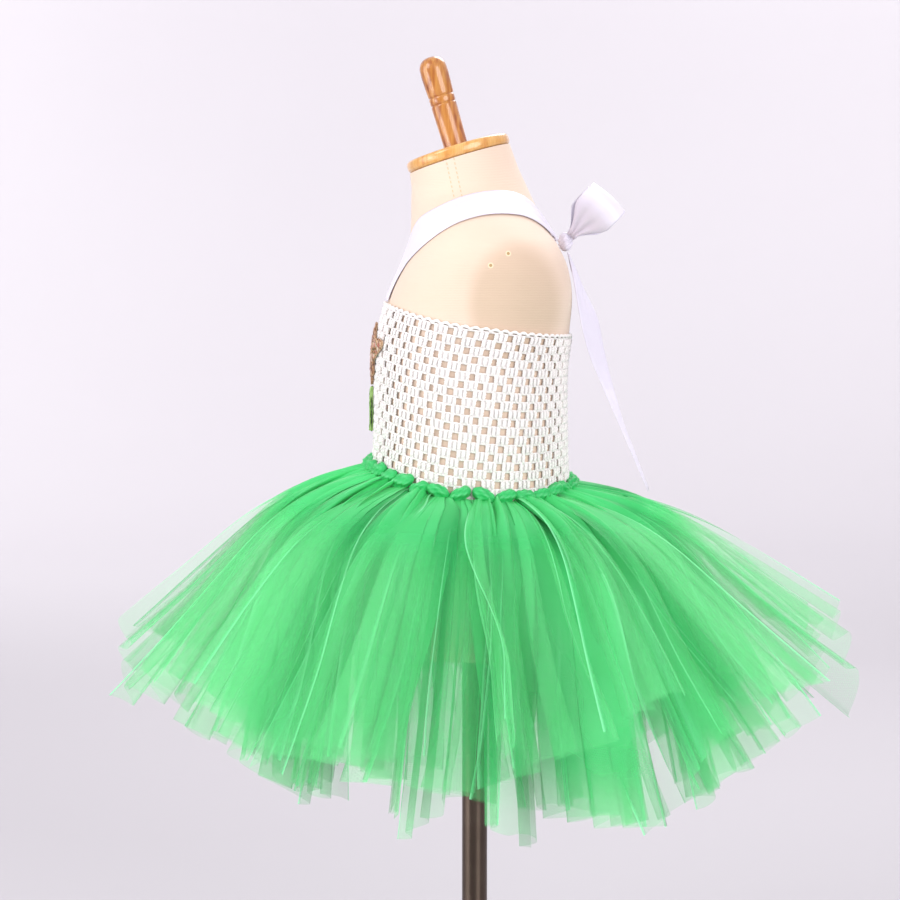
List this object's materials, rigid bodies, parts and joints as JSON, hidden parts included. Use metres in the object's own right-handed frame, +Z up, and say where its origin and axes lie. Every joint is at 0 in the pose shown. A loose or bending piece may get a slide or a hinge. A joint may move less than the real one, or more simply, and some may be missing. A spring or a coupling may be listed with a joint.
{
  "type": "child's tutu dress on a dress form",
  "caption": "Child's halter tutu dress with a crochet bodice and a knotted tulle skirt, on a limbless dress form with a wooden neck cap, a pole and a round foot.",
  "frame": {"origin": "on the floor under the pole, at the centre of the foot's flat underside", "axes": "+Z up the pole, -Y the way the dress faces, +X to the wearer's left"},
  "size_m": [0.6594, 0.6767, 0.9665],
  "materials": {
    "form_cloth": "cream stretch cloth, matt",
    "wood": "lacquered, honey to orange brown",
    "bright_metal": "bright plated tube",
    "yarn": "glossy white stretch yarn, crocheted",
    "satin": "white satin ribbon",
    "tulle": "bright green soft tulle, see-through",
    "sequin_gold": "brown-gold sequins on felt",
    "sequin_green": "green sequins on felt"
  },
  "bodies": {
    "root": {"torso": "form_cloth", "neck_cap": "wood", "neck_handle": "wood", "pole": "bright_metal", "pole_socket": "bright_metal", "base": "bright_metal", "bodice": "yarn", "applique_flower": "sequin_gold", "applique_stem": "sequin_green", "halter_left": "satin", "halter_right": "satin", "bow_knot": "satin", "bow_loop_left": "satin", "bow_loop_right": "satin", "bow_tail_left": "satin", "bow_tail_right": "satin", "skirt_upper_front_left": "tulle", "skirt_upper_back_left": "tulle", "skirt_upper_back_right": "tulle", "skirt_upper_front_right": "tulle", "skirt_lower_front_left": "tulle", "skirt_lower_back_left": "tulle", "skirt_lower_back_right": "tulle", "skirt_lower_front_right": "tulle"}
  },
  "joints": []
}
